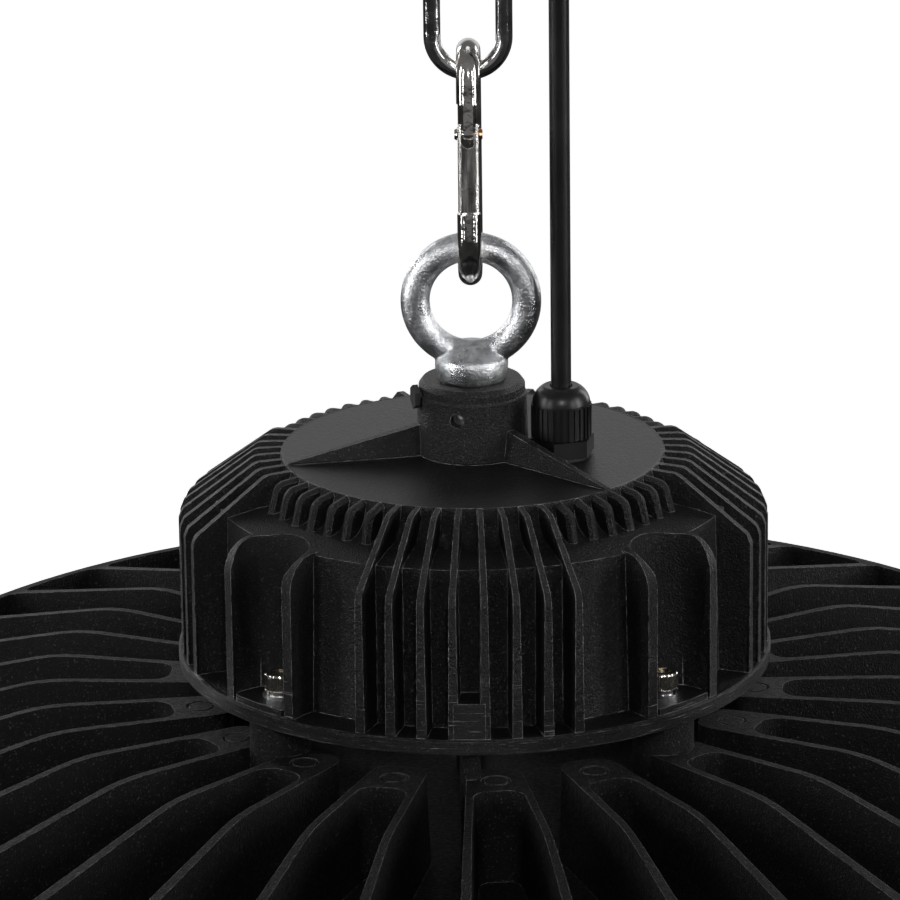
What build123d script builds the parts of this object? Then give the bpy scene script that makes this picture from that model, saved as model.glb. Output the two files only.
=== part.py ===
from build123d import *
from math import asin, cos, radians, sin
import os

# High bay light that hangs from a chain link by a snap hook and an eye bolt.
# Millimetres, +Z up. The origin is where the chain link bears on what holds it.
# The front is -Y. An azimuth is measured from the front towards +X.

# Fits and clearances
bearing_gap = 0.3  # between two links of the hanging gear
screw_gap = 0.1  # round a screw or a stud in its hole
seat_gap = 0.2  # round a disc or ring in its recess
slide_gap = 0.15  # between the gate's cheeks and the rivet heads
gate_end_gap = 0.8  # between the gate's end and the hook's nose

# Chain link
link_wire = 5.0
link_inner_width = 16.0
link_inner_length = 36.0

# Snap hook
hook_wire = 7.0
hook_inner_length = 60.0
hook_top_radius = 8.5  # to the middle of the wire
hook_bottom_radius = 12.0
hook_arm_end = 5.8  # upper arm, along its line from the top bow
hook_tongue_width = 2.8
hook_tongue_depth = 3.4
hook_nose_start = 8.0  # lower arm, along its line from the bottom bow
gate_width = 6.3
gate_depth = 6.0
gate_sheet = 1.0
gate_edge_round = 1.4
gate_window = 3.8  # open stretch at the top of the gate's front
rivet_diameter = 2.0
rivet_head_diameter = 3.6
rivet_head_height = 0.8
rivet_drop = 9.1  # from the shoulder of the upper arm
gate_top_reach = 2.5  # gate above the rivet
spring_wire = 0.5
spring_leg = 7.0

# Eye bolt
eye_inner_diameter = 25.0
eye_wire = 8.0
eye_centre_height = 23.9  # above its seat
eye_foot_diameter = 19.4
eye_collar_diameter = 21.0
eye_collar_height = 6.6
eye_neck_diameter = 12.0
eye_neck_height = 10.4
eye_shank_diameter = 10.0
eye_shank_length = 17.0
eye_shank_chamfer = 0.8

# Driver housing
boss_diameter = 32.4
boss_base_diameter = 33.6
boss_height = 22.0
boss_chamfer = 1.5
boss_step_drop = 4.2  # below the boss's top
boss_step = 0.4
plate_radius = 57.0
plate_wall = 5.5
shoulder_foot_radius = 67.0
shoulder_foot_drop = 10.0
valley_radius = 58.4
valley_drop = 5.0
shoulder_radius = 77.0
shoulder_drop = 12.0
wall_foot_radius = 78.5
cavity_radius = 66.0
cavity_top_radius = 52.0
cavity_shoulder_drop = 18.0
flange_radius = 89.0
flange_thickness = 4.6
housing_height = 64.0  # flange underside to top plate
fin_pitch = 6.0
fin_thickness = 1.6  # at the top plate
fin_draft = 0.65
short_fin_thickness = 3.0
short_fin_edge = 0.8
short_fin_flank = 40.0  # lean of its sides
long_fins = 8  # in each of four groups
short_fins = 7
long_fin_radius = 88.0
long_fin_flat_radius = 65.0
long_fin_flat_drop = 0.6
long_fin_bend_radius = 86.9
long_fin_bend_drop = 16.8
long_fin_upright_drop = 19.6
fin_bend_round = 2.5
short_fin_drop = 10.6
short_fin_crest_drop = 1.2
short_fin_crest_radius = 64.4
short_fin_round = 4.0
pocket_angle = 45.0
pocket_rib_angle = 8.2  # either side of the pocket's middle
pocket_rib_thickness = 3.2
pocket_round = 10.2
pocket_draft = 2.0
pad_height = 2.0  # under the housing screws
pocket_centre_radius = 82.0
block_drop = 48.6
gusset_angles = (45.0, 165.0, 285.0)
gusset_height = 9.6
gusset_foot_width = 6.4
gusset_top_width = 3.0
gusset_end_width = 2.6
lock_screw_diameter = 4.0
lock_screw_length = 8.0
lock_screw_angle = -15.0
lock_screw_height = 13.3
lock_hex_width = 2.0
stop_screw_angle = -75.0
stop_screw_height = 17.6
stop_head_width = 6.4
stop_head_height = 1.6

# Housing closure
cover_radius = 71.2
cover_thickness = 2.5
gasket_thickness = 1.0
gasket_width = 4.6
cover_screw_diameter = 3.0
cover_screw_count = 8
cover_screw_head = 5.5
cover_screw_head_height = 1.8
screw_head_taper = 20.0
cover_screw_length = 8.0

# Housing screws
screw_diameter = 5.0
screw_head_diameter = 8.5
screw_head_height = 5.0
screw_length = 20.0
screw_hex_width = 4.0
screw_hex_depth = 2.6
screw_radius = 79.0  # from the axis
washer_diameter = 10.0
washer_thickness = 1.0
spring_washer_diameter = 8.9
spring_washer_thickness = 1.2
spring_washer_split = 1.2

# Cable gland
gland_x = 26.5
gland_y = -6.0
gland_hex_width = 17.6
gland_hex_height = 5.2
gland_thread_diameter = 12.0
gland_neck_diameter = 14.0
gland_neck_height = 10.6  # above the hex
gland_seal_thickness = 0.8
gland_nut_diameter = 17.2
gland_nut_height = 15.1
gland_nut_rib_height = 9.6
gland_nut_rib_count = 30
gland_nut_rib_depth = 0.4
gland_nut_rib_width = 0.9
gland_dome_diameter = 10.6
gland_bore_diameter = 6.8
gland_turn = 18.0
locknut_width = 17.0
locknut_height = 4.0

# Cable and its connector
cable_diameter = 6.0
cable_tail_length = 34.0
connector_start = 8.0  # above the origin
connector_nut_diameter = 13.0
connector_nut_height = 14.0
connector_diameter = 16.0
connector_height = 26.0
connector_wall = 2.0
connector_collar_height = 9.0
connector_pin_diameter = 1.6
connector_pin_length = 9.0
connector_pin_count = 3
connector_pin_circle = 3.4

# Heat sink
sink_radius = 200.0
sink_hub_radius = 75.0
sink_fin_count = 36
sink_fin_thickness = 2.2  # along its top
sink_draft = 2.4
sink_pad_radius = 93.0
sink_pad_round = 5.5
sink_pad_end_round = 6.0
sink_gap_round = 4.0
sink_rim_wall = 2.6
mark_diameter = 8.6
mark_depth = 0.3
mark_width = 0.9
mark_radius = 84.5
fin_top_drop = 73.5  # below the top plate, at the hub
fin_crest_drop = 72.8
fin_crest_radius = 131.0
fin_crest_round = 60.0
rim_top_drop = 88.4
rim_flat = 4.5
base_top_drop = 101.0
base_thickness = 5.0
rim_bottom_drop = 110.0
post_diameter = 18.0
post_count = 4
pin_post_diameter = 6.0
pin_post_radius = 81.0
hood_boss_diameter = 12.0
hood_hole_diameter = 4.2
hood_hole_depth = 7.5
hood_circle_radius = 160.0
hood_hole_count = 4

# Light side
board_radius = 118.0
board_thickness = 1.6
led_size = 3.0
led_height = 0.7
led_rows = (46.0, 74.0, 102.0)
led_counts = (18, 30, 42)
lens_flange_radius = 130.0
lens_flange_thickness = 3.0
lens_gasket_thickness = 1.5
lens_gasket_width = 8.0
lens_window_radius = 121.0
lens_window_drop = 4.5
lens_window_thickness = 2.5
ring_outer_radius = 140.0
ring_lip_width = 7.0
ring_lip_thickness = 3.0
ring_screw_radius = 135.5
ring_screw_count = 12
ring_screw_diameter = 4.0
ring_screw_head = 7.0
ring_screw_head_height = 2.2
ring_screw_length = 8.5
board_screw_diameter = 3.0
board_screw_head = 5.5
board_screw_head_height = 1.6
board_screw_radius = 60.0
board_screw_count = 6
board_screw_length = 5.0

# Lead tube from the driver to the light board
tube_diameter = 12.0
tube_bore_diameter = 8.0
tube_flange_diameter = 18.0
tube_flange_thickness = 2.0

# Driver
driver_length = 92.0
driver_width = 70.0
driver_thickness = 1.6
standoff_height = 7.0
standoff_diameter = 6.0
standoff_inset = 5.0
driver_screw_head = 5.5
transformer_size = 30.0
transformer_height = 24.0
choke_diameter = 20.0
choke_thickness = 11.0
capacitor_diameter = 16.0
capacitor_height = 30.0
capacitor_count = 3
terminal_length = 22.0
terminal_width = 10.0
terminal_height = 12.0
terminal_ways = 3

# Heights, worked out downwards from the origin
link_bottom = -link_inner_length
hook_top_inside = link_bottom + bearing_gap
hook_bottom_inside = hook_top_inside - hook_inner_length
eye_top_inside = hook_bottom_inside + bearing_gap
eye_centre = eye_top_inside - eye_inner_diameter / 2
seat = eye_centre - eye_centre_height
plate = seat - boss_height
flange_bottom = plate - housing_height
flange_top = flange_bottom + flange_thickness
pocket_floor = flange_top + pad_height
base_top = plate - base_top_drop
base_bottom = base_top - base_thickness
eye_ring_radius = (eye_inner_diameter + eye_wire) / 2


def around(radius, azimuth, height=0.0):
    """Point at a radius and an azimuth from the front."""
    angle = radians(azimuth)
    return Vector(radius * sin(angle), -radius * cos(angle), height)


def outward(azimuth, height=0.0):
    """Plane through the axis whose x runs outwards along an azimuth and whose y runs up."""
    direction = around(1.0, azimuth)
    return Plane(
        origin=(0, 0, height),
        x_dir=direction,
        z_dir=direction.cross(Vector(0, 0, 1)),
    )


def facing(radius, azimuth, height):
    """Plane that faces outwards at a radius, an azimuth and a height."""
    return Plane(
        origin=around(radius, azimuth, height),
        x_dir=(0, 0, 1),
        z_dir=around(1.0, azimuth),
    )


# Chain link
link_mid_width = link_inner_width + link_wire
link_mid_length = link_inner_length + link_wire
link_mid = -link_inner_length / 2
link_round = link_mid_width / 2
link_straight = link_mid_length / 2 - link_round
with BuildPart() as chain_link:
    with BuildLine(Plane.XZ.offset(0)) as link_path:
        Line((-link_round, link_mid - link_straight), (-link_round, link_mid + link_straight))
        ThreePointArc(
            (-link_round, link_mid + link_straight),
            (0, link_mid + link_mid_length / 2),
            (link_round, link_mid + link_straight),
        )
        Line((link_round, link_mid + link_straight), (link_round, link_mid - link_straight))
        ThreePointArc(
            (link_round, link_mid - link_straight),
            (0, link_mid - link_mid_length / 2),
            (-link_round, link_mid - link_straight),
        )
    with BuildSketch(Plane(origin=(-link_round, 0, link_mid - link_straight), z_dir=(0, 0, 1))):
        Circle(link_wire / 2)
    sweep(path=link_path.wires()[0])
chain_link.part.label = "chain_link"

# Snap hook: two bows joined by a back on the +Y side and two arms on the -Y side
top_bow = hook_top_inside + hook_wire / 2 - hook_top_radius
bottom_bow = hook_bottom_inside - hook_wire / 2 + hook_bottom_radius
bow_distance = top_bow - bottom_bow
side_angle = asin((hook_bottom_radius - hook_top_radius) / bow_distance)
# The front side's line in the YZ plane, from the top bow to the bottom bow
front_top = Vector(0, -hook_top_radius * cos(side_angle), top_bow + hook_top_radius * sin(side_angle))
front_bottom = Vector(
    0, -hook_bottom_radius * cos(side_angle), bottom_bow + hook_bottom_radius * sin(side_angle)
)
back_top = Vector(0, -front_top.Y, front_top.Z)
back_bottom = Vector(0, -front_bottom.Y, front_bottom.Z)
down_front = (front_bottom - front_top).normalized()
arm_end = front_top + down_front * hook_arm_end
nose_start = front_bottom - down_front * hook_nose_start
rivet_point = arm_end + down_front * rivet_drop
# Across the gate, its own plane: x along world X, y along the front side's line
gate_plane = Plane(origin=rivet_point, x_dir=(1, 0, 0), z_dir=Vector(1, 0, 0).cross(down_front * -1))
gate_length = (nose_start - rivet_point).length - gate_end_gap

with BuildPart() as hook_body:
    with BuildLine() as hook_path:
        arm_line = Line(arm_end, front_top)
        top_arc = ThreePointArc(
            front_top, (0, 0, top_bow + hook_top_radius), back_top
        )
        back_line = Line(back_top, back_bottom)
        bottom_arc = ThreePointArc(
            back_bottom, (0, 0, bottom_bow - hook_bottom_radius), front_bottom
        )
        nose_line = Line(front_bottom, nose_start)
    with BuildSketch(Plane(origin=arm_end, x_dir=(1, 0, 0), z_dir=down_front * -1)):
        Circle(hook_wire / 2)
    sweep(path=hook_path.wires()[0])
    # Tongue of the upper arm, which the gate straddles
    with BuildSketch(Plane(origin=rivet_point, x_dir=down_front, z_dir=(1, 0, 0))):
        Circle(hook_tongue_depth / 2)
        with Locations((-rivet_drop / 2 - 0.5, 0)):
            Rectangle(rivet_drop + 1, hook_tongue_depth)
    extrude(amount=hook_tongue_width / 2, both=True)
    with BuildSketch(Plane.YZ.offset(-hook_wire)):
        with Locations((rivet_point.Y, rivet_point.Z)):
            Circle(rivet_diameter / 2 + screw_gap / 2)
    extrude(amount=2 * hook_wire, mode=Mode.SUBTRACT)
hook_body.part.label = "hook_body"

# Rivet through the tongue, headed outside the gate's cheeks
rivet_half = gate_width / 2 + slide_gap
with BuildPart() as gate_rivet:
    with BuildSketch(Plane.YZ.offset(-rivet_half)):
        with Locations((rivet_point.Y, rivet_point.Z)):
            Circle(rivet_diameter / 2)
    extrude(amount=2 * rivet_half)
    for side in (1, -1):
        with BuildSketch(Plane.YZ.offset(side * rivet_half)):
            with Locations((rivet_point.Y, rivet_point.Z)):
                Circle(rivet_head_diameter / 2)
        extrude(amount=side * rivet_head_height, taper=25)
gate_rivet.part.label = "gate_rivet"

# Gate: a channel of sheet that is open towards the back of the hook
with BuildPart() as hook_gate:
    with BuildSketch(gate_plane) as gate_front:
        with Locations((0, (gate_top_reach - gate_length) / 2)):
            Rectangle(gate_width, gate_top_reach + gate_length)
    extrude(amount=gate_depth / 2, both=True)
    fillet(hook_gate.edges().filter_by(lambda e: abs(e.tangent_at(0).dot(down_front)) > 0.99), gate_edge_round)
    inner_width = gate_width - 2 * gate_sheet
    with BuildSketch(gate_plane.offset(gate_depth / 2 - gate_sheet)):
        with Locations((0, (gate_top_reach - gate_length) / 2)):
            Rectangle(inner_width, gate_top_reach + gate_length)
    extrude(amount=-2 * gate_depth, mode=Mode.SUBTRACT)
    with BuildSketch(gate_plane.offset(gate_depth)):
        with Locations((0, (gate_top_reach - gate_window) / 2 + gate_sheet)):
            SlotOverall(gate_window + gate_top_reach + 2 * gate_sheet, inner_width, rotation=90)
    extrude(amount=-gate_depth, mode=Mode.SUBTRACT)
    with BuildSketch(Plane.YZ.offset(-gate_width)):
        with Locations((rivet_point.Y, rivet_point.Z)):
            Circle(rivet_diameter / 2 + screw_gap / 2)
    extrude(amount=2 * gate_width, mode=Mode.SUBTRACT)
hook_gate.part.label = "hook_gate"

# Spring of the gate: a coil round the rivet beside the tongue, and a leg down the gate's front
spring_radius = gate_depth / 2 - gate_sheet - spring_wire / 2 - slide_gap / 5
spring_side = (gate_width / 2 - gate_sheet + hook_tongue_width / 2) / 2
spring_out = gate_plane.z_dir * spring_radius
spring_centre = rivet_point + Vector(spring_side, 0, 0)
with BuildPart() as gate_spring:
    with BuildSketch(Plane(origin=spring_centre + spring_out, x_dir=(1, 0, 0), z_dir=down_front)):
        Circle(spring_wire / 2)
    revolve(axis=Axis(tuple(spring_centre), (1, 0, 0)))
    with BuildSketch(Plane(origin=spring_centre + spring_out, x_dir=(1, 0, 0), z_dir=down_front)):
        Circle(spring_wire / 2)
    extrude(amount=spring_leg)
gate_spring.part.label = "gate_spring"

# Eye bolt: a ring on a barrel-shaped foot
eye_foot = eye_foot_diameter / 2
eye_collar = eye_collar_diameter / 2
eye_shank = eye_shank_diameter / 2
with BuildPart() as eye_bolt:
    with BuildSketch(Plane.XZ):
        with BuildLine():
            Polyline(
                (0, seat - eye_shank_length),
                (eye_shank - eye_shank_chamfer, seat - eye_shank_length),
                (eye_shank, seat - eye_shank_length + eye_shank_chamfer),
                (eye_shank, seat),
                (eye_foot, seat),
            )
            ThreePointArc(
                (eye_foot, seat),
                (eye_collar, seat + 0.55 * eye_collar_height),
                (eye_collar - 0.2, seat + eye_collar_height),
            )
            Polyline(
                (eye_collar - 0.2, seat + eye_collar_height),
                (eye_neck_diameter / 2, seat + eye_neck_height),
                (0, seat + eye_neck_height),
                (0, seat - eye_shank_length),
            )
        make_face()
    revolve(axis=Axis.Z)
    with BuildSketch(Plane.XY.offset(eye_centre)):
        with Locations((eye_ring_radius, 0)):
            Circle(eye_wire / 2)
    revolve(axis=Axis((0, 0, eye_centre), (0, 1, 0)))
eye_bolt.part.label = "eye_bolt"

# Screws in the side of the boss
boss_radius = boss_diameter / 2
lock_depth = boss_radius - eye_shank_diameter / 2
lock_z = plate + lock_screw_height
stop_z = plate + stop_screw_height
lock_plane = facing(eye_shank_diameter / 2 + bearing_gap, lock_screw_angle, lock_z)
with BuildPart() as eye_lock_screw:
    with BuildSketch(lock_plane):
        Circle(lock_screw_diameter / 2)
    extrude(amount=lock_screw_length)
    with BuildSketch(lock_plane.offset(lock_screw_length)):
        RegularPolygon(lock_hex_width / 2, 6, major_radius=False)
    extrude(amount=-lock_hex_width, mode=Mode.SUBTRACT)
eye_lock_screw.part.label = "eye_lock_screw"

stop_plane = facing(eye_shank_diameter / 2 + bearing_gap, stop_screw_angle, stop_z)
stop_seat = boss_radius + bearing_gap
with BuildPart() as eye_stop_screw:
    with BuildSketch(stop_plane):
        Circle(lock_screw_diameter / 2)
    extrude(amount=stop_seat - eye_shank_diameter / 2 - bearing_gap)
    with BuildSketch(facing(stop_seat, stop_screw_angle, stop_z)):
        RegularPolygon(stop_head_width / 2, 6, major_radius=False)
    extrude(amount=stop_head_height)
eye_stop_screw.part.label = "eye_stop_screw"

# Driver housing
with BuildPart() as long_fin:
    with BuildSketch(Plane.XY.offset(plate)):
        with Locations((long_fin_radius / 2 + cavity_radius / 2, 0)):
            Rectangle(long_fin_radius - cavity_radius + plate_radius, fin_thickness)
    extrude(amount=-housing_height, taper=-fin_draft)
    with BuildSketch(outward(90, plate)):
        with BuildLine():
            FilletPolyline(
                (plate_radius - 2, 0),
                (long_fin_flat_radius, -long_fin_flat_drop),
                (long_fin_bend_radius, -long_fin_bend_drop),
                (long_fin_radius, -long_fin_upright_drop),
                (long_fin_radius, flange_top - plate - 1),
                radius=(fin_bend_round * 2, fin_bend_round, fin_bend_round / 2),
            )
            Polyline(
                (long_fin_radius, flange_top - plate - 1),
                (cavity_radius + 5, flange_top - plate - 1),
                (cavity_radius + 5, -shoulder_drop - 3),
                (plate_radius - 2, -3),
                (plate_radius - 2, 0),
            )
        make_face()
    extrude(amount=2 * fin_thickness, both=True, mode=Mode.INTERSECT)

# The short fins are thin along their crest and thick at their foot
with BuildPart() as short_fin:
    with BuildSketch(outward(90, plate)) as short_fin_side:
        with BuildLine():
            FilletPolyline(
                (plate_radius - 1, 0),
                (short_fin_crest_radius, -short_fin_crest_drop),
                (shoulder_foot_radius, -short_fin_drop),
                radius=short_fin_round,
            )
            Polyline(
                (shoulder_foot_radius, -short_fin_drop),
                (shoulder_foot_radius - 3, -short_fin_drop - 2),
                (plate_radius, -valley_drop - 2),
                (plate_radius - 1, 0),
            )
        make_face()
    extrude(amount=short_fin_edge / 2, both=True)
    for side in (1, -1):
        with BuildSketch(outward(90, plate).offset(side * short_fin_edge / 2)):
            add(short_fin_side.sketch_local.faces())
        extrude(amount=side * (short_fin_thickness - short_fin_edge) / 2, taper=short_fin_flank)

with BuildPart() as pocket_rib:
    with BuildSketch(outward(90, plate)):
        with BuildLine():
            Line((shoulder_radius - 4, -shoulder_drop + 0.4), (shoulder_radius + 0.5, -shoulder_drop + 0.6))
            ThreePointArc(
                (shoulder_radius + 0.5, -shoulder_drop + 0.6),
                (long_fin_radius - 3.1, -shoulder_drop - 2.0),
                (long_fin_radius, -shoulder_drop - 8.5),
            )
            Polyline(
                (long_fin_radius, -shoulder_drop - 8.5),
                (long_fin_radius, flange_top - plate - 1),
                (cavity_radius + 5, flange_top - plate - 1),
                (cavity_radius + 5, -shoulder_drop - 2),
                (shoulder_radius - 4, -shoulder_drop + 0.4),
            )
        make_face()
    extrude(amount=pocket_rib_thickness / 2, both=True)

with BuildPart() as pin_block:
    with BuildSketch(outward(90, plate)):
        with Locations((cavity_radius + 5, flange_top - 1 - plate)):
            Rectangle(
                long_fin_radius - cavity_radius - 5,
                plate - flange_top + 1 - block_drop,
                align=(Align.MIN, Align.MIN),
            )
    extrude(amount=long_fin_radius * sin(radians(fin_pitch / 2)), both=True)

recess_height = gasket_thickness + cover_thickness
with BuildPart() as driver_housing:
    with BuildSketch(Plane.XZ.offset(0)):
        with BuildLine():
            Polyline(
                (0, plate),
                (plate_radius, plate),
                (valley_radius, plate - valley_drop),
            )
            ThreePointArc(
                (valley_radius, plate - valley_drop),
                (
                    valley_radius + 0.35 * (shoulder_foot_radius - valley_radius),
                    plate - 0.4 * valley_drop - 0.6 * shoulder_foot_drop - 0.6,
                ),
                (shoulder_foot_radius, plate - shoulder_foot_drop),
            )
            Polyline(
                (shoulder_foot_radius, plate - shoulder_foot_drop),
                (shoulder_radius, plate - shoulder_drop),
                (wall_foot_radius, flange_top),
                (flange_radius - 0.5, flange_top),
                (flange_radius, flange_top - 0.5),
                (flange_radius, flange_bottom + 0.5),
                (flange_radius - 0.5, flange_bottom),
                (cover_radius + seat_gap, flange_bottom),
                (cover_radius + seat_gap, flange_bottom + recess_height),
                (cavity_radius, flange_bottom + recess_height),
                (cavity_radius, plate - cavity_shoulder_drop),
                (cavity_top_radius, plate - plate_wall),
                (0, plate - plate_wall),
                (0, plate),
            )
        make_face()
    revolve(axis=Axis.Z)
    # Four groups of long fins, with short fins and the ribs of the pockets between them
    long_turns = [
        90 * group + (index - (long_fins - 1) / 2) * fin_pitch
        for group in range(4)
        for index in range(long_fins)
    ]
    short_turns = [
        90 * group + pocket_angle + (index - (short_fins - 1) / 2) * fin_pitch
        for group in range(4)
        for index in range(short_fins)
    ]
    rib_turns = [
        90 * group + pocket_angle + side * pocket_rib_angle
        for group in range(4)
        for side in (1, -1)
    ]
    for fin, turns in (
        (long_fin, long_turns),
        (short_fin, short_turns),
        (pocket_rib, rib_turns),
        (pin_block, (90, -90)),
    ):
        with Locations(*(Location((0, 0, 0), (0, 0, turn)) for turn in turns)):
            add(fin.part)
    # Raised pads that the housing screws bear on
    with BuildSketch(Plane.XY.offset(flange_top - 1)):
        Circle(long_fin_radius)
        with PolarLocations(pocket_centre_radius, 4, start_angle=pocket_angle):
            Circle(pocket_round + 1, mode=Mode.INTERSECT)
    extrude(amount=pad_height + 1)
    # Screw pockets with a round back
    with BuildSketch(Plane.XY.offset(pocket_floor)):
        with PolarLocations(pocket_centre_radius, 4, start_angle=pocket_angle):
            Circle(pocket_round)
    extrude(amount=plate - pocket_floor, taper=-pocket_draft, mode=Mode.SUBTRACT)
    with BuildSketch(Plane.XY.offset(flange_bottom)):
        with PolarLocations(screw_radius, 4, start_angle=pocket_angle):
            Circle(screw_diameter / 2 + screw_gap)
    extrude(amount=flange_thickness + pad_height, mode=Mode.SUBTRACT)
    # Boss for the eye bolt
    with BuildSketch(Plane.XZ.offset(0)):
        with BuildLine():
            Polyline(
                (0, plate - 1),
                (boss_base_diameter / 2, plate - 1),
                (boss_radius, plate + boss_height - boss_step_drop),
                (boss_radius - boss_step, plate + boss_height - boss_step_drop + boss_step),
                (boss_radius - boss_step, plate + boss_height - boss_chamfer),
                (boss_radius - boss_chamfer, plate + boss_height),
                (0, plate + boss_height),
                (0, plate - 1),
            )
        make_face()
    revolve(axis=Axis.Z)
    # Three gussets that fade out at the edge of the plate
    for azimuth in gusset_angles:
        for radius, foot, top, height in (
            (boss_radius - 2, gusset_foot_width, gusset_top_width, gusset_height),
            (plate_radius - 0.5, gusset_end_width, gusset_end_width * 0.6, 0.4),
        ):
            with BuildSketch(facing(radius, azimuth, plate)):
                with BuildLine():
                    Polyline(
                        (-0.5, -foot / 2),
                        (height, -top / 2),
                        (height, top / 2),
                        (-0.5, foot / 2),
                        close=True,
                    )
                make_face()
        loft()
    # Holes for the eye bolt, its two side screws and the cable gland
    with BuildSketch(Plane.XY.offset(seat)):
        Circle(eye_shank_diameter / 2 + screw_gap)
    extrude(amount=-eye_shank_length - 1, mode=Mode.SUBTRACT)
    for azimuth, height in ((lock_screw_angle, lock_z), (stop_screw_angle, stop_z)):
        with BuildSketch(facing(eye_shank_diameter / 2, azimuth, height)):
            Circle(lock_screw_diameter / 2 + screw_gap)
        extrude(amount=2 * lock_depth, mode=Mode.SUBTRACT)
    with BuildSketch(Plane.XY.offset(plate - plate_wall)):
        with Locations((gland_x, gland_y)):
            Circle(gland_thread_diameter / 2 + screw_gap)
    extrude(amount=plate_wall, mode=Mode.SUBTRACT)
    # Blind holes for the screws of the bottom cover
    with BuildSketch(Plane.XY.offset(flange_bottom + recess_height)):
        with PolarLocations(
            cover_radius - gasket_width / 2, cover_screw_count, start_angle=180 / cover_screw_count
        ):
            Circle(cover_screw_diameter / 2 + screw_gap)
    extrude(amount=cover_screw_length, mode=Mode.SUBTRACT)
driver_housing.part.label = "driver_housing"

# Housing screws with a plain and a split washer each
washer_top = pocket_floor + washer_thickness
split_top = washer_top + spring_washer_thickness
with BuildPart() as housing_screws:
    with BuildSketch(Plane.XY.offset(split_top)):
        with PolarLocations(screw_radius, 4, start_angle=pocket_angle):
            Circle(screw_head_diameter / 2)
    extrude(amount=screw_head_height)
    chamfer(housing_screws.edges().group_by(Axis.Z)[-1], 0.4)
    with BuildSketch(Plane.XY.offset(split_top)):
        with PolarLocations(screw_radius, 4, start_angle=pocket_angle):
            Circle(screw_diameter / 2)
    extrude(amount=-screw_length)
    with BuildSketch(Plane.XY.offset(split_top + screw_head_height)):
        with PolarLocations(screw_radius, 4, start_angle=pocket_angle):
            RegularPolygon(screw_hex_width / 2, 6, major_radius=False)
    extrude(amount=-screw_hex_depth, mode=Mode.SUBTRACT)
housing_screws.part.label = "housing_screws"

with BuildPart() as plain_washers:
    with BuildSketch(Plane.XY.offset(pocket_floor)):
        with PolarLocations(screw_radius, 4, start_angle=pocket_angle):
            Circle(washer_diameter / 2)
        with PolarLocations(screw_radius, 4, start_angle=pocket_angle):
            Circle(screw_diameter / 2 + screw_gap, mode=Mode.SUBTRACT)
    extrude(amount=washer_thickness)
plain_washers.part.label = "plain_washers"

with BuildPart() as spring_washers:
    with BuildSketch(Plane.XY.offset(washer_top)):
        with PolarLocations(screw_radius, 4, start_angle=pocket_angle):
            Circle(spring_washer_diameter / 2)
        with PolarLocations(screw_radius, 4, start_angle=pocket_angle):
            Circle(screw_diameter / 2 + screw_gap, mode=Mode.SUBTRACT)
        with PolarLocations(screw_radius + spring_washer_diameter / 2, 4, start_angle=pocket_angle):
            Rectangle(spring_washer_diameter, spring_washer_split, rotation=20, mode=Mode.SUBTRACT)
    extrude(amount=spring_washer_thickness)
spring_washers.part.label = "spring_washers"

# Bottom cover of the housing, its gasket and screws
gasket_bottom = flange_bottom + cover_thickness
cover_screw_circle = cover_radius - gasket_width / 2
with BuildPart() as housing_gasket:
    with BuildSketch(Plane.XY.offset(gasket_bottom)):
        Circle(cover_radius)
        Circle(cover_radius - gasket_width, mode=Mode.SUBTRACT)
        with PolarLocations(cover_screw_circle, cover_screw_count, start_angle=180 / cover_screw_count):
            Circle(cover_screw_diameter / 2 + screw_gap, mode=Mode.SUBTRACT)
    extrude(amount=gasket_thickness)
housing_gasket.part.label = "housing_gasket"

standoff_x = driver_length / 2 - standoff_inset
standoff_y = driver_width / 2 - standoff_inset
with BuildPart() as bottom_cover:
    with BuildSketch(Plane.XY.offset(flange_bottom)):
        Circle(cover_radius)
        Circle(tube_diameter / 2 + screw_gap, mode=Mode.SUBTRACT)
        with PolarLocations(cover_screw_circle, cover_screw_count, start_angle=180 / cover_screw_count):
            Circle(cover_screw_diameter / 2 + screw_gap, mode=Mode.SUBTRACT)
        with GridLocations(2 * standoff_x, 2 * standoff_y, 2, 2):
            Circle(cover_screw_diameter / 2 + screw_gap, mode=Mode.SUBTRACT)
    extrude(amount=cover_thickness)
bottom_cover.part.label = "bottom_cover"

with BuildPart() as cover_screws:
    with BuildSketch(Plane.XY.offset(flange_bottom)):
        with PolarLocations(cover_screw_circle, cover_screw_count, start_angle=180 / cover_screw_count):
            Circle(cover_screw_head / 2)
    extrude(amount=-cover_screw_head_height, taper=screw_head_taper)
    with BuildSketch(Plane.XY.offset(flange_bottom)):
        with PolarLocations(cover_screw_circle, cover_screw_count, start_angle=180 / cover_screw_count):
            Circle(cover_screw_diameter / 2)
    extrude(amount=cover_screw_length)
cover_screws.part.label = "cover_screws"

# Cable gland
washer_height = gland_seal_thickness
hex_bottom = plate + washer_height
hex_top = hex_bottom + gland_hex_height
nut_bottom = hex_top + 0.3
nut_top = nut_bottom + gland_nut_height
gland_spot = Plane(origin=(gland_x, gland_y, 0))
with BuildPart() as gland_washer:
    with BuildSketch(gland_spot.offset(plate)):
        Circle(gland_hex_width / 2)
        Circle(gland_thread_diameter / 2 + screw_gap, mode=Mode.SUBTRACT)
    extrude(amount=washer_height)
gland_washer.part.label = "gland_washer"

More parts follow.
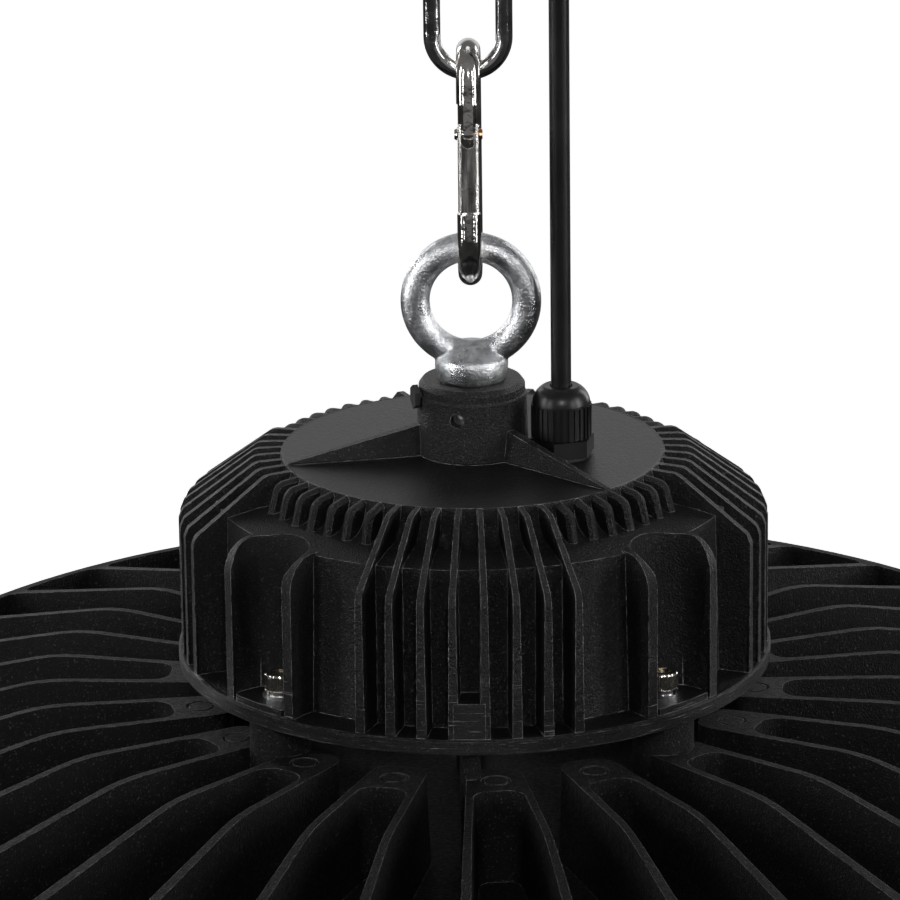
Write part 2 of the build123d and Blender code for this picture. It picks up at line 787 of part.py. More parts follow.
with BuildPart() as gland_body:
    with BuildSketch(gland_spot.offset(hex_bottom)):
        RegularPolygon(gland_hex_width / 2, 6, major_radius=False, rotation=gland_turn)
    extrude(amount=gland_hex_height)
    with BuildSketch(gland_spot.offset(hex_top)):
        Circle(gland_neck_diameter / 2)
    extrude(amount=gland_neck_height)
    with BuildSketch(gland_spot.offset(hex_bottom)):
        Circle(gland_thread_diameter / 2)
    extrude(amount=-washer_height - plate_wall - locknut_height - 1)
    with BuildSketch(gland_spot.offset(hex_top + gland_neck_height)):
        Circle(gland_bore_diameter / 2)
    extrude(amount=-2 * (plate_wall + gland_neck_height), mode=Mode.SUBTRACT)
    with BuildSketch(gland_spot.offset(hex_top + gland_neck_height)):
        Circle(gland_neck_diameter / 2 - 1.5)
    extrude(amount=-gland_neck_height / 2, mode=Mode.SUBTRACT)
gland_body.part.label = "gland_body"

seal_top = hex_top + gland_neck_height + 0.4
with BuildPart() as gland_seal:
    with BuildSketch(gland_spot.offset(seal_top - gland_neck_height / 2)):
        Circle(gland_neck_diameter / 2 - 1.5 - screw_gap)
        Circle(cable_diameter / 2 + screw_gap, mode=Mode.SUBTRACT)
    extrude(amount=gland_neck_height / 2)
gland_seal.part.label = "gland_seal"

nut_radius = gland_nut_diameter / 2
dome_bottom = nut_bottom + gland_nut_rib_height + 0.6
with BuildPart() as gland_nut:
    with BuildSketch(Plane(origin=(gland_x, gland_y, 0), x_dir=(1, 0, 0), z_dir=(0, -1, 0))):
        with BuildLine():
            Polyline(
                (gland_neck_diameter / 2 + screw_gap, nut_bottom),
                (nut_radius, nut_bottom),
                (nut_radius, dome_bottom),
            )
            ThreePointArc(
                (nut_radius, dome_bottom),
                (nut_radius - 0.9, (0.45 * dome_bottom + 0.55 * nut_top)),
                (gland_dome_diameter / 2, nut_top),
            )
            Polyline(
                (gland_dome_diameter / 2, nut_top),
                (gland_bore_diameter / 2, nut_top),
                (gland_bore_diameter / 2, seal_top + 0.3),
                (gland_neck_diameter / 2 + screw_gap, seal_top + 0.3),
                (gland_neck_diameter / 2 + screw_gap, nut_bottom),
            )
        make_face()
    revolve(axis=Axis((gland_x, gland_y, 0), (0, 0, 1)))
    with BuildSketch(gland_spot.offset(nut_bottom)):
        with PolarLocations(nut_radius, gland_nut_rib_count):
            Rectangle(2 * gland_nut_rib_depth, gland_nut_rib_width)
    extrude(amount=gland_nut_rib_height)
gland_nut.part.label = "gland_nut"

with BuildPart() as gland_locknut:
    with BuildSketch(gland_spot.offset(plate - plate_wall)):
        RegularPolygon(locknut_width / 2, 6, major_radius=False)
        Circle(gland_thread_diameter / 2 + screw_gap, mode=Mode.SUBTRACT)
    extrude(amount=-locknut_height)
gland_locknut.part.label = "gland_locknut"

# Cable: straight up from the gland, and its tail inside
cable_start = nut_top - 2
with BuildPart() as power_cable:
    with BuildSketch(gland_spot.offset(cable_start)):
        Circle(cable_diameter / 2)
    extrude(amount=connector_start - cable_start)
power_cable.part.label = "power_cable"

with BuildPart() as cable_tail:
    with BuildSketch(gland_spot.offset(cable_start)):
        Circle(cable_diameter / 2)
    extrude(amount=-cable_tail_length)
cable_tail.part.label = "cable_tail"

# Connector at the cable's end
connector_body_bottom = connector_start + connector_nut_height
connector_top = connector_body_bottom + connector_height
insert_top = connector_top - connector_pin_length
with BuildPart() as connector_nut:
    with BuildSketch(gland_spot.offset(connector_start)):
        RegularPolygon(connector_nut_diameter / 2, 8, major_radius=False)
    extrude(amount=connector_nut_height)
    chamfer(connector_nut.edges().group_by(Axis.Z)[0], 1.6)
connector_nut.part.label = "connector_nut"

with BuildPart() as connector_shell:
    with BuildSketch(gland_spot.offset(connector_body_bottom)):
        Circle(connector_diameter / 2)
    extrude(amount=connector_height)
    with BuildSketch(gland_spot.offset(connector_top - connector_collar_height)):
        Circle(connector_diameter / 2 + 1.2)
    extrude(amount=connector_collar_height - 2)
    with BuildSketch(gland_spot.offset(connector_top)):
        Circle(connector_diameter / 2 - connector_wall)
    extrude(amount=-connector_height + connector_wall, mode=Mode.SUBTRACT)
connector_shell.part.label = "connector_shell"

with BuildPart() as connector_insert:
    with BuildSketch(gland_spot.offset(connector_body_bottom + connector_wall)):
        Circle(connector_diameter / 2 - connector_wall - screw_gap)
    extrude(amount=insert_top - connector_body_bottom - connector_wall)
connector_insert.part.label = "connector_insert"

with BuildPart() as connector_pins:
    with BuildSketch(gland_spot.offset(insert_top)):
        with PolarLocations(connector_pin_circle, connector_pin_count, start_angle=90):
            Circle(connector_pin_diameter / 2)
    extrude(amount=connector_pin_length - 2)
connector_pins.part.label = "connector_pins"

# Heat sink: a turned blank with pockets between radial fins
fin_step = 360 / sink_fin_count
gap_outer = sink_radius - sink_rim_wall
gap_top = plate - fin_crest_drop + 0.5


def gap_outline(first, inner_radius):
    """Sketch of the pocket between two fins, from an inner radius out to the rim wall."""
    half = sink_fin_thickness / 2
    corners = []
    for azimuth, side in ((first, 1), (first + fin_step, -1)):
        along = around(1.0, azimuth)
        across = Vector(-along.Y, along.X, 0) * (side * half)
        corners.append((along * inner_radius + across, along * gap_outer + across))
    near_start, far_start = corners[0]
    near_end, far_end = corners[1]
    middle = first + fin_step / 2
    with BuildSketch(Plane.XY.offset(gap_top)) as outline:
        with BuildLine():
            Line(tuple(near_start)[:2], tuple(far_start)[:2])
            ThreePointArc(
                tuple(far_start)[:2],
                tuple(around(gap_outer, middle))[:2],
                tuple(far_end)[:2],
            )
            Line(tuple(far_end)[:2], tuple(near_end)[:2])
            Line(tuple(near_end)[:2], tuple(near_start)[:2])
        make_face()
        ends = outline.vertices()
        fillet([v for v in ends if Vector(v.X, v.Y).length > gap_outer - 10], sink_gap_round)
        if inner_radius > sink_hub_radius:
            ends = outline.vertices()
            fillet([v for v in ends if Vector(v.X, v.Y).length < inner_radius + 2], sink_pad_round)
    return outline


with BuildPart() as heat_sink:
    with BuildSketch(Plane.XZ.offset(0)):
        with BuildLine():
            FilletPolyline(
                (sink_hub_radius, plate - fin_top_drop),
                (fin_crest_radius, plate - fin_crest_drop),
                (sink_radius - rim_flat, plate - rim_top_drop),
                radius=fin_crest_round,
            )
            Polyline(
                (sink_radius - rim_flat, plate - rim_top_drop),
                (sink_radius - 1, plate - rim_top_drop),
                (sink_radius, plate - rim_top_drop - 1),
                (sink_radius, plate - rim_bottom_drop + 1),
                (sink_radius - 1, plate - rim_bottom_drop),
                (gap_outer, plate - rim_bottom_drop),
                (gap_outer - 0.6, base_bottom),
                (tube_diameter / 2 + screw_gap, base_bottom),
                (tube_diameter / 2 + screw_gap, base_top),
                (sink_hub_radius, base_top),
                (sink_hub_radius, plate - fin_top_drop),
            )
        make_face()
    revolve(axis=Axis.Z)
    # Pockets: every second one runs open to the centre, the others end at a pad
    open_gap = gap_outline(-fin_step, sink_hub_radius - 3)
    closed_gap = gap_outline(0, sink_pad_radius)
    for gap in (open_gap, closed_gap):
        with BuildSketch(Plane.XY.offset(gap_top)):
            with PolarLocations(0, sink_fin_count // 2):
                add(gap.sketch_local.faces())
        extrude(amount=base_top - gap_top, taper=sink_draft, mode=Mode.SUBTRACT)
    pad_corners = heat_sink.edges().filter_by(
        lambda e: abs(Vector(*tuple(e @ 0.5)[:2]).length - sink_hub_radius) < 0.4
        and (e @ 0.5).Z > base_top + 2
        and abs((e @ 1).Z - (e @ 0).Z) > 10
    )
    fillet(pad_corners, sink_pad_end_round)
    # Marks of the ejector pins on the pads
    with BuildSketch(Plane.XY.offset(plate - fin_crest_drop)):
        with PolarLocations(mark_radius, sink_fin_count // 2, start_angle=fin_step / 2 - 90):
            Circle(mark_diameter / 2)
            Circle(mark_diameter / 2 - mark_width, mode=Mode.SUBTRACT)
    extrude(amount=fin_crest_drop - fin_top_drop - mark_depth, mode=Mode.SUBTRACT)
    # Posts that carry the housing, and two locating posts
    with BuildSketch(Plane.XY.offset(base_top - 1)):
        with PolarLocations(screw_radius, post_count, start_angle=pocket_angle):
            Circle(post_diameter / 2)
        with PolarLocations(pin_post_radius, 2, start_angle=90):
            Circle(pin_post_diameter / 2)
    extrude(amount=flange_bottom - base_top + 1)
    with BuildSketch(Plane.XY.offset(flange_bottom)):
        with PolarLocations(screw_radius, post_count, start_angle=pocket_angle):
            Circle(screw_diameter / 2 + screw_gap)
    extrude(amount=-screw_length, mode=Mode.SUBTRACT)
    # Bosses under the base that take a hood
    with BuildSketch(Plane.XY.offset(base_bottom + 1)):
        with PolarLocations(hood_circle_radius, hood_hole_count, start_angle=pocket_angle):
            Circle(hood_boss_diameter / 2)
    extrude(amount=-(base_bottom + 1 - plate + rim_bottom_drop))
    with BuildSketch(Plane.XY.offset(plate - rim_bottom_drop)):
        with PolarLocations(hood_circle_radius, hood_hole_count, start_angle=pocket_angle):
            Circle(hood_hole_diameter / 2)
    extrude(amount=hood_hole_depth, mode=Mode.SUBTRACT)
    # Blind holes for the ring screws and the board screws
    with BuildSketch(Plane.XY.offset(base_bottom)):
        with PolarLocations(ring_screw_radius, ring_screw_count):
            Circle(ring_screw_diameter / 2 + screw_gap)
        with PolarLocations(board_screw_radius, board_screw_count):
            Circle(board_screw_diameter / 2 + screw_gap)
    extrude(amount=base_thickness - 1, mode=Mode.SUBTRACT)
heat_sink.part.label = "heat_sink"

# Light board with its chips
board_bottom = base_bottom - board_thickness
with BuildPart() as led_board:
    with BuildSketch(Plane.XY.offset(base_bottom)):
        Circle(board_radius)
        Circle(tube_diameter / 2 + screw_gap, mode=Mode.SUBTRACT)
        with PolarLocations(board_screw_radius, board_screw_count):
            Circle(board_screw_diameter / 2 + screw_gap, mode=Mode.SUBTRACT)
    extrude(amount=-board_thickness)
led_board.part.label = "led_board"

with BuildPart() as leds:
    with BuildSketch(Plane.XY.offset(board_bottom)):
        for radius, count in zip(led_rows, led_counts):
            with PolarLocations(radius, count):
                Rectangle(led_size, led_size)
    extrude(amount=-led_height)
leds.part.label = "leds"

with BuildPart() as board_screws:
    with BuildSketch(Plane.XY.offset(board_bottom)):
        with PolarLocations(board_screw_radius, board_screw_count):
            Circle(board_screw_head / 2)
    extrude(amount=-board_screw_head_height, taper=screw_head_taper)
    with BuildSketch(Plane.XY.offset(board_bottom)):
        with PolarLocations(board_screw_radius, board_screw_count):
            Circle(board_screw_diameter / 2)
    extrude(amount=board_screw_length)
board_screws.part.label = "board_screws"

# Optic plate, its gasket and the ring that clamps it
lens_top = base_bottom - lens_gasket_thickness
lens_flange_bottom = lens_top - lens_flange_thickness
lens_bottom = lens_top - lens_window_drop - lens_window_thickness
with BuildPart() as lens_gasket:
    with BuildSketch(Plane.XY.offset(base_bottom)):
        Circle(lens_flange_radius)
        Circle(lens_flange_radius - lens_gasket_width, mode=Mode.SUBTRACT)
    extrude(amount=-lens_gasket_thickness)
lens_gasket.part.label = "lens_gasket"

with BuildPart() as lens_cover:
    with BuildSketch(Plane.XZ.offset(0)):
        with BuildLine():
            Polyline(
                (0, lens_top - lens_window_drop),
                (lens_window_radius - 6, lens_top - lens_window_drop),
                (lens_window_radius - 1, lens_top),
                (lens_flange_radius, lens_top),
                (lens_flange_radius, lens_flange_bottom),
                (lens_window_radius + 1, lens_flange_bottom),
                (lens_window_radius - 2, lens_bottom),
                (0, lens_bottom),
                (0, lens_top - lens_window_drop),
            )
        make_face()
    revolve(axis=Axis.Z)
lens_cover.part.label = "lens_cover"

ring_bottom = lens_flange_bottom - ring_lip_thickness
with BuildPart() as lens_ring:
    with BuildSketch(Plane.XZ.offset(0)):
        with BuildLine():
            Polyline(
                (lens_flange_radius + seat_gap, base_bottom),
                (ring_outer_radius, base_bottom),
                (ring_outer_radius, ring_bottom + 1),
                (ring_outer_radius - 1, ring_bottom),
                (lens_flange_radius - ring_lip_width + 1, ring_bottom),
                (lens_flange_radius - ring_lip_width, ring_bottom + 1),
                (lens_flange_radius - ring_lip_width, lens_flange_bottom),
                (lens_flange_radius + seat_gap, lens_flange_bottom),
                (lens_flange_radius + seat_gap, base_bottom),
            )
        make_face()
    revolve(axis=Axis.Z)
    with BuildSketch(Plane.XY.offset(ring_bottom)):
        with PolarLocations(ring_screw_radius, ring_screw_count):
            Circle(ring_screw_diameter / 2 + screw_gap)
    extrude(amount=base_bottom - ring_bottom, mode=Mode.SUBTRACT)
    with BuildSketch(Plane.XY.offset(ring_bottom)):
        with PolarLocations(ring_screw_radius, ring_screw_count):
            Circle(ring_screw_head / 2 + seat_gap)
    extrude(amount=ring_screw_head_height, mode=Mode.SUBTRACT)
lens_ring.part.label = "lens_ring"

ring_seat = ring_bottom + ring_screw_head_height
with BuildPart() as ring_screws:
    with BuildSketch(Plane.XY.offset(ring_seat)):
        with PolarLocations(ring_screw_radius, ring_screw_count):
            Circle(ring_screw_head / 2)
    extrude(amount=-ring_screw_head_height + 0.2)
    with BuildSketch(Plane.XY.offset(ring_seat)):
        with PolarLocations(ring_screw_radius, ring_screw_count):
            Circle(ring_screw_diameter / 2)
    extrude(amount=ring_screw_length)
ring_screws.part.label = "ring_screws"

# Tube that carries the leads from the housing to the light board
tube_top = flange_bottom + cover_thickness + tube_flange_thickness
with BuildPart() as lead_tube:
    with BuildSketch(Plane.XY.offset(board_bottom)):
        Circle(tube_diameter / 2)
    extrude(amount=tube_top - board_bottom)
    with BuildSketch(Plane.XY.offset(tube_top)):
        Circle(tube_flange_diameter / 2)
    extrude(amount=-tube_flange_thickness)
    with BuildSketch(Plane.XY.offset(tube_top)):
        Circle(tube_bore_diameter / 2)
    extrude(amount=board_bottom - tube_top, mode=Mode.SUBTRACT)
lead_tube.part.label = "lead_tube"

# Driver on standoffs above the bottom cover
cover_top = flange_bottom + cover_thickness
driver_bottom = cover_top + standoff_height
driver_top = driver_bottom + driver_thickness
with BuildPart() as driver_standoffs:
    with BuildSketch(Plane.XY.offset(cover_top)):
        with GridLocations(2 * standoff_x, 2 * standoff_y, 2, 2):
            Circle(standoff_diameter / 2)
        with GridLocations(2 * standoff_x, 2 * standoff_y, 2, 2):
            Circle(cover_screw_diameter / 2 + screw_gap, mode=Mode.SUBTRACT)
    extrude(amount=standoff_height)
driver_standoffs.part.label = "driver_standoffs"

with BuildPart() as driver_board:
    with BuildSketch(Plane.XY.offset(driver_bottom)):
        Rectangle(driver_length, driver_width)
        with GridLocations(2 * standoff_x, 2 * standoff_y, 2, 2):
            Circle(cover_screw_diameter / 2 + screw_gap, mode=Mode.SUBTRACT)
    extrude(amount=driver_thickness)
driver_board.part.label = "driver_board"

with BuildPart() as driver_screws:
    with BuildSketch(Plane.XY.offset(driver_top)):
        with GridLocations(2 * standoff_x, 2 * standoff_y, 2, 2):
            Circle(driver_screw_head / 2)
    extrude(amount=cover_screw_head_height)
    with BuildSketch(Plane.XY.offset(driver_top)):
        with GridLocations(2 * standoff_x, 2 * standoff_y, 2, 2):
            Circle(cover_screw_diameter / 2)
    extrude(amount=-driver_thickness - standoff_height - cover_thickness + 0.5)
driver_screws.part.label = "driver_screws"

with BuildPart() as transformer:
    with BuildSketch(Plane.XY.offset(driver_top)):
        with Locations((-driver_length / 6, 0)):
            Rectangle(transformer_size, transformer_size * 0.8)
    extrude(amount=transformer_height)
    with BuildSketch(Plane.XY.offset(driver_top + transformer_height * 0.2)):
        with Locations((-driver_length / 6, 0)):
            Rectangle(transformer_size * 0.7, transformer_size * 1.05)
    extrude(amount=transformer_height * 0.6)
transformer.part.label = "transformer"

choke_plane = Plane.XY.offset(driver_top)
with BuildPart() as choke:
    with BuildSketch(choke_plane):
        with Locations((driver_length * 0.125, -driver_width * 0.25)):
            Circle(choke_diameter / 2)
            Circle(choke_diameter / 5, mode=Mode.SUBTRACT)
    extrude(amount=choke_thickness)
    fillet(choke.edges().filter_by(GeomType.CIRCLE), 2)
choke.part.label = "choke"

with BuildPart() as capacitors:
    with BuildSketch(Plane.XY.offset(driver_top)):
        with Locations((driver_length * 0.34, 0)):
            with GridLocations(1, capacitor_diameter + 2, 1, capacitor_count):
                Circle(capacitor_diameter / 2)
    extrude(amount=capacitor_height)
capacitors.part.label = "capacitors"

with BuildPart() as driver_terminal:
    with BuildSketch(Plane.XY.offset(driver_top)):
        with Locations((-driver_length * 0.1, driver_width / 2 - terminal_width)):
            Rectangle(terminal_length, terminal_width)
    extrude(amount=terminal_height)
    with BuildSketch(Plane.XY.offset(driver_top + terminal_height)):
        with Locations((-driver_length * 0.1, driver_width / 2 - terminal_width)):
            with GridLocations(terminal_length / terminal_ways, 1, terminal_ways, 1):
                Circle(terminal_width / 5)
    extrude(amount=-3, mode=Mode.SUBTRACT)
driver_terminal.part.label = "driver_terminal"

os.makedirs("parts", exist_ok=True)
for piece in (
    chain_link,
    hook_body,
    gate_rivet,
    hook_gate,
    gate_spring,
    eye_bolt,
    eye_lock_screw,
    eye_stop_screw,
    driver_housing,
    housing_screws,
    plain_washers,
    spring_washers,
    housing_gasket,
    bottom_cover,
    cover_screws,
    gland_washer,
    gland_body,
    gland_seal,
    gland_nut,
    gland_locknut,
    power_cable,
    cable_tail,
    connector_nut,
    connector_shell,
    connector_insert,
    connector_pins,
    heat_sink,
    led_board,
    leds,
    board_screws,
    lens_gasket,
    lens_cover,
    lens_ring,
    ring_screws,
    lead_tube,
    driver_standoffs,
    driver_board,
    driver_screws,
    transformer,
    choke,
    capacitors,
    driver_terminal,
):
    export_step(piece.part, f"parts/{piece.part.label}.step")
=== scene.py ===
import math

import bmesh
import bpy
from mathutils import Matrix, Vector


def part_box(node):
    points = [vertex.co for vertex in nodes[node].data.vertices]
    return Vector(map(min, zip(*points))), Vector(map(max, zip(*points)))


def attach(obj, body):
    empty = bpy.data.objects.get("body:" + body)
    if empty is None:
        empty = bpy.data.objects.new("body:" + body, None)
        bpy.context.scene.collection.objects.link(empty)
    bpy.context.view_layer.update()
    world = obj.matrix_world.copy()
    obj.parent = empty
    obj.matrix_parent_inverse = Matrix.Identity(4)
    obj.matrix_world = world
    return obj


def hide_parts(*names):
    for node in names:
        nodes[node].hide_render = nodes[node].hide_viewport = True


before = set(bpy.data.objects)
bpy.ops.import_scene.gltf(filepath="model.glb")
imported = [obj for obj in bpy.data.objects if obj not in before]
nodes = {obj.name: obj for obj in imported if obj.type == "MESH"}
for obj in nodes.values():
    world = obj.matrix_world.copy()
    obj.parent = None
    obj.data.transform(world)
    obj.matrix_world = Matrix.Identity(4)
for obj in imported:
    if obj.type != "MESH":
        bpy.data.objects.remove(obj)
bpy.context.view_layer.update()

# High bay light on its chain link. Metres, +Z up, the origin inside the top of the link.
scene = bpy.context.scene

# Heights and places of the drum and the gland
housing_low, housing_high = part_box("driver_housing")
sink_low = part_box("heat_sink")[0]
boss_height = 0.022
plate = housing_high.z - boss_height
plate_radius = 0.057
flange_thickness = 0.0046
flange_top = housing_low.z + flange_thickness
flange_radius = housing_high.x
screw_circle = 0.079
gland_x = 0.0265
gland_y = -0.006

# Camera: fitted to the drum, the rim and the hanging gear, and turned with the lamp
lamp_turn = math.radians(1.152)
yaw = math.radians(-0.239)
pitch = math.radians(17.727)
roll = math.radians(-0.708)
camera_aside = -0.00019
camera_away = 1.5653
camera_over_plate = 0.4999
sensor_width = 36
lens_length = 220.69
farthest_seen = 60
camera_spot = Vector((camera_aside, -camera_away, plate + camera_over_plate))
across = Vector((math.cos(yaw), -math.sin(yaw), 0))
ahead = Vector((math.sin(yaw) * math.cos(pitch), math.cos(yaw) * math.cos(pitch), -math.sin(pitch)))
above = across.cross(ahead)
camera_right = math.cos(roll) * across + math.sin(roll) * above
camera_up = -math.sin(roll) * across + math.cos(roll) * above
camera_data = bpy.data.cameras.new("camera")
camera_data.sensor_width = sensor_width
camera_data.lens = lens_length
camera_data.clip_end = farthest_seen
camera = bpy.data.objects.new("camera", camera_data)
scene.collection.objects.link(camera)
camera_matrix = Matrix((camera_right, camera_up, -ahead)).transposed().to_4x4()
camera_matrix.translation = camera_spot
camera.matrix_world = Matrix.Rotation(lamp_turn, 4, "Z") @ camera_matrix
scene.camera = camera
scene.view_settings.view_transform = "Standard"

# Cable: held taut from above the picture, so it runs straight up to its connector
cable_diameter = 0.006
cable_low, cable_high = (corner.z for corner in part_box("power_cable"))
cable_points = 6
cable_curve = bpy.data.curves.new("supply_cable", "CURVE")
cable_curve.dimensions = "3D"
cable_curve.bevel_depth = cable_diameter / 2
cable_curve.bevel_resolution = 8
cable_curve.resolution_u = 12
cable_curve.use_fill_caps = True
cable_line = cable_curve.splines.new("NURBS")
cable_line.points.add(cable_points - 1)
cable_route = []
for index in range(cable_points):
    height = cable_low + (cable_high - cable_low) * index / (cable_points - 1)
    cable_route.append((gland_x, gland_y, height))
    cable_line.points[index].co = (*cable_route[-1], 1)
cable_line.order_u = 3
cable_line.use_endpoint_u = True
cable_guide = bpy.data.objects.new("cable_guide", cable_curve)
scene.collection.objects.link(cable_guide)
finished_guide = cable_guide.evaluated_get(bpy.context.evaluated_depsgraph_get())
cable_mesh = bpy.data.meshes.new_from_object(finished_guide)
cable_mesh.shade_smooth()
bpy.data.objects.remove(cable_guide)
cable = bpy.data.objects.new("supply_cable", cable_mesh)
scene.collection.objects.link(cable)
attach(cable, "lamp")
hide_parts("power_cable")


# Material building
ramp_inputs = ("From Min", "From Max", "To Min", "To Max")


class Surface:
    """A node material with a few helpers for its links."""

    def __init__(self, name, roughness, metallic=0.0, specular=0.5):
        self.material = bpy.data.materials.new(name)
        self.material.use_nodes = True
        self.tree = self.material.node_tree
        self.shader = self.tree.nodes["Principled BSDF"]
        self.shader.inputs["Metallic"].default_value = metallic
        self.shader.inputs["Roughness"].default_value = roughness
        self.shader.inputs["Specular IOR Level"].default_value = specular
        self.place = self.add("ShaderNodeTexCoord").outputs["Object"]

    def add(self, kind, **settings):
        node = self.tree.nodes.new(kind)
        for key, value in settings.items():
            setattr(node, key, value)
        return node

    def link(self, source, target):
        self.tree.links.new(source, target)

    def stretched(self, x, y, z):
        """Object coordinates scaled on each axis."""
        mapping = self.add("ShaderNodeMapping")
        mapping.inputs["Scale"].default_value = (x, y, z)
        self.link(self.place, mapping.inputs["Vector"])
        return mapping.outputs["Vector"]

    def noise(self, scale, detail=3.0, roughness=0.5, vector=None):
        node = self.add("ShaderNodeTexNoise")
        node.inputs["Scale"].default_value = scale
        node.inputs["Detail"].default_value = detail
        node.inputs["Roughness"].default_value = roughness
        self.link(self.place if vector is None else vector, node.inputs["Vector"])
        return node.outputs["Fac"]

    def spread(self, value, low, high, to_low=0.0, to_high=1.0):
        """A smooth step: to_low at low, to_high at high."""
        node = self.add("ShaderNodeMapRange", interpolation_type="SMOOTHSTEP")
        for name, number in zip(ramp_inputs, (low, high, to_low, to_high)):
            node.inputs[name].default_value = number
        self.link(value, node.inputs["Value"])
        return node.outputs["Result"]

    def times(self, first, second):
        """Product of two sockets or numbers."""
        node = self.add("ShaderNodeMath", operation="MULTIPLY")
        for index, value in enumerate((first, second)):
            if isinstance(value, (int, float)):
                node.inputs[index].default_value = value
            else:
                self.link(value, node.inputs[index])
        return node.outputs[0]

    def blend(self, factor, first, second):
        """Colour between two colours or sockets."""
        node = self.add("ShaderNodeMix", data_type="RGBA")
        self.link(factor, node.inputs[0])
        for index, value in ((6, first), (7, second)):
            if isinstance(value, tuple):
                node.inputs[index].default_value = (*value, 1)
            else:
                self.link(value, node.inputs[index])
        return node.outputs[2]

    def axes(self):
        """The place's x, y and z."""
        node = self.add("ShaderNodeSeparateXYZ")
        self.link(self.place, node.inputs[0])
        return tuple(node.outputs)

    def from_axis(self, x, y):
        """Distance from the lamp's axis."""
        flat = self.add("ShaderNodeCombineXYZ")
        self.link(x, flat.inputs[0])
        self.link(y, flat.inputs[1])
        length = self.add("ShaderNodeVectorMath", operation="LENGTH")
        self.link(flat.outputs[0], length.inputs[0])
        return length.outputs["Value"]

    def edges(self, width, low, high):
        """1 on the part's edges and 0 on its faces, and the normal with rounded edges."""
        rounded = self.add("ShaderNodeBevel", samples=6)
        rounded.inputs["Radius"].default_value = width
        plain = self.add("ShaderNodeNewGeometry")
        dot = self.add("ShaderNodeVectorMath", operation="DOT_PRODUCT")
        self.link(rounded.outputs[0], dot.inputs[0])
        self.link(plain.outputs["Normal"], dot.inputs[1])
        return self.spread(dot.outputs["Value"], high, low), rounded.outputs[0]

    def bumps(self, layers, normal=None):
        """Stacked bump nodes: (height socket, strength, distance)."""
        for value, strength, distance in layers:
            node = self.add("ShaderNodeBump")
            node.inputs["Strength"].default_value = strength
            node.inputs["Distance"].default_value = distance
            self.link(value, node.inputs["Height"])
            if normal is not None:
                self.link(normal, node.inputs["Normal"])
            normal = node.outputs[0]
        self.link(normal, self.shader.inputs["Normal"])

    def colour(self, socket):
        self.link(socket, self.shader.inputs["Base Color"])

    def roughen(self, socket):
        self.link(socket, self.shader.inputs["Roughness"])


def dress(surface, *pieces):
    """Gives a surface to CAD nodes, by name, or to new objects."""
    for piece in pieces:
        data = nodes[piece].data if isinstance(piece, str) else piece.data
        data.materials.clear()
        data.materials.append(surface.material)


# Black textured powder coat of the castings, with painted highlights: pale edges, pale specks and
# pale turned lines
coat_dark = (0.0042, 0.0042, 0.0046)
coat_light = (0.0066, 0.0066, 0.0070)
# Pale specks painted into the coat: painted sparkle, small glints
sparkle_tone = (0.12, 0.12, 0.12)
# Pale grey painted on the edges: painted edge highlight (glints), in patches
edge_glint_tone = (0.75, 0.75, 0.75)
# Grey painted on the turned lines: real turned marks, with painted glints along them
turned_glint_tone = (0.40, 0.40, 0.40)
# Radius of the rounded edges, and width of the painted edge highlight
edge_width = 0.00035
turned_inward = 0.0018
turned_fade = 0.0004
turned_full = 0.004
turned_end = 0.022


def smooth_plate(coat, height, radius):
    """1 on the drum's round top plate, which has little texture."""
    inside = coat.spread(radius, plate_radius - 0.0002, plate_radius - 0.0008)
    on_top = coat.times(inside, coat.spread(height, plate - 0.0006, plate - 0.0002))
    return coat.times(on_top, coat.spread(height, plate + 0.0004, plate + 0.0001))


def turned_foot(coat, height, radius):
    """1 on the flange's rim and the foot of the fins, which were turned after casting."""
    turned_radius = flange_radius - turned_inward
    outer = coat.spread(radius, turned_radius, turned_radius + turned_fade)
    return coat.times(outer, coat.spread(height, flange_top + turned_end, flange_top + turned_full))


